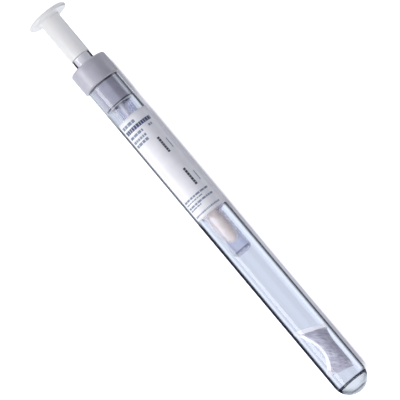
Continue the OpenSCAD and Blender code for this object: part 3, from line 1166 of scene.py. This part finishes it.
    def room(self, light):
        """The room: white where the camera looks, and a pale studio where glass and gloss mirror it.

        A dark screen stands at the front on the side away from the lamp, for reflections alone: it
        gives rounded surfaces their dark side.
        """
        world = bpy.data.worlds.new("studio_room")
        bpy.context.scene.world = world
        world.use_nodes = True
        tree = world.node_tree
        tree.nodes.clear()
        path = add_node(tree, "LightPath").outputs
        towards = add_node(tree, "TexCoord").outputs["Generated"]
        towards = add_node(tree, "SeparateXYZ", {"Vector": towards}).outputs
        aside = add_node(tree, "MapRange", {
            "Value": towards["X"], "From Min": -0.25, "From Max": -0.5})
        front = add_node(tree, "MapRange", {
            "Value": towards["Y"], "From Min": 0.15, "From Max": -0.05})
        screen = add_node(tree, "Math", {0: aside, 1: front}, operation="MULTIPLY")
        screen = add_node(tree, "Math", {
            0: screen, 1: path["Is Glossy Ray"]}, operation="MULTIPLY")
        shade = add_node(tree, "MapRange", {"Value": screen, "To Min": 0.9, "To Max": 0.05})
        walls = add_node(tree, "Background", {"Color": (0.84, 0.88, 0.97, 1), "Strength": shade})
        soft = add_node(tree, "Background", {"Color": (0.95, 0.97, 1.06, 1), "Strength": light})
        white = add_node(tree, "Background", {"Color": grey(1), "Strength": 1.0})
        bent = add_node(tree, "Math", {
            0: path["Is Glossy Ray"], 1: path["Is Transmission Ray"]}, operation="MAXIMUM")
        mirrored = add_node(tree, "MixShader", {"Fac": bent, 1: soft, 2: walls})
        shown = add_node(tree, "MixShader", {"Fac": path["Is Camera Ray"], 1: mirrored, 2: white})
        add_node(tree, "OutputWorld", {"Surface": shown})

    def lamp(self, name, face):
        """An upright softbox at the front right: a lit panel whose face has the given brightness."""
        light = bpy.data.lights.new(name, "AREA")
        light.shape = "RECTANGLE"
        light.size = self.LAMP_LENGTH
        light.size_y = self.LAMP_WIDTH
        light.energy = face * math.pi * self.LAMP_WIDTH * self.LAMP_LENGTH
        made = bpy.data.objects.new(name, light)
        middle = (CAD_BOX[0] + CAD_BOX[1]) / 2
        back = Vector((math.sin(self.LAMP_ANGLE), -math.cos(self.LAMP_ANGLE), 0))
        made.location = middle + back * self.LAMP_AWAY
        upright = Vector((0, 0, 1))
        across = back.cross(upright)
        made.rotation_euler = Matrix((upright, across, back)).transposed().to_euler()
        # Glass mirrors the softbox but never shows it straight behind.
        made.visible_transmission = False
        made.visible_camera = False
        bpy.context.scene.collection.objects.link(made)

    def camera(self, size):
        """Looks at the tube's front, with the tube sloping from the upper left to the lower right."""
        data = bpy.data.cameras.new("camera")
        data.lens = size.lens
        data.sensor_width = 36.0
        made = bpy.data.objects.new("camera", data)
        bpy.context.scene.collection.objects.link(made)
        bpy.context.scene.camera = made
        back = Vector((0, -math.cos(size.lean), math.sin(size.lean)))
        along = Vector((0, math.sin(size.lean), math.cos(size.lean)))
        across = Vector((-1, 0, 0))
        right = along * math.cos(size.turn) + across * math.sin(size.turn)
        up = across * math.cos(size.turn) - along * math.sin(size.turn)
        centre = (CAD_BOX[0] + CAD_BOX[1]) / 2
        # The tube's middle stands a little right of the view's middle and a little below it.
        target = centre - right * 0.9 * MM + up * 0.65 * MM
        away = size.view_width * size.lens / data.sensor_width
        made.matrix_world = Matrix.Translation(target + back * away) @ Matrix(
            (right, up, back)).transposed().to_4x4()
        data.clip_start = 0.01
        data.clip_end = 20.0

    def execute(self, context):
        size = context.scene.swabtube_stage
        self.sheets(size)
        self.room(size.room_light)
        self.lamp("strip_softbox", size.key_light)
        self.camera(size)
        context.scene.view_settings.view_transform = "Standard"
        # Light passes many walls of glass one behind the other.
        context.scene.cycles.transparent_max_bounces = 32
        context.scene.cycles.transmission_bounces = 20
        context.scene.cycles.max_bounces = 24
        return {"FINISHED"}


class SWABTUBE_PT_panel(bpy.types.Panel):
    """Lists the pieces in the sidebar"""
    bl_idname = "SWABTUBE_PT_panel"
    bl_label = "Specimen Swab Tube"
    bl_space_type = "VIEW_3D"
    bl_region_type = "UI"
    bl_category = "Swab Tube"

    def draw(self, context):
        for group in GROUPS:
            box = self.layout.box()
            settings = getattr(context.scene, group)
            for key in settings.bl_rna.properties.keys():
                if key not in ("rna_type", "name"):
                    box.prop(settings, key)
        for operator in OPERATORS:
            self.layout.operator(operator.bl_idname)


GROUPS = {
    "swabtube_glass": SWABTUBE_PG_glass,
    "swabtube_swab": SWABTUBE_PG_swab,
    "swabtube_label": SWABTUBE_PG_label,
    "swabtube_sachet": SWABTUBE_PG_sachet,
    "swabtube_stage": SWABTUBE_PG_stage,
}
OPERATORS = [
    SWABTUBE_OT_glass, SWABTUBE_OT_stopper, SWABTUBE_OT_swab, SWABTUBE_OT_label,
    SWABTUBE_OT_sachet, SWABTUBE_OT_stage,
]


def register():
    """Registers the settings, the operators and the panel."""
    for name, group in GROUPS.items():
        bpy.utils.register_class(group)
        setattr(bpy.types.Scene, name, PointerProperty(type=group))
    for operator in OPERATORS:
        bpy.utils.register_class(operator)
    bpy.utils.register_class(SWABTUBE_PT_panel)


def unregister():
    """Takes them out again."""
    bpy.utils.unregister_class(SWABTUBE_PT_panel)
    for operator in reversed(OPERATORS):
        bpy.utils.unregister_class(operator)
    for name, group in GROUPS.items():
        delattr(bpy.types.Scene, name)
        bpy.utils.unregister_class(group)


def main():
    """Builds every piece and the stage."""
    register()
    for operator in OPERATORS:
        group, action = operator.bl_idname.split(".")
        getattr(getattr(bpy.ops, group), action)()


if __name__ == "__main__":
    main()
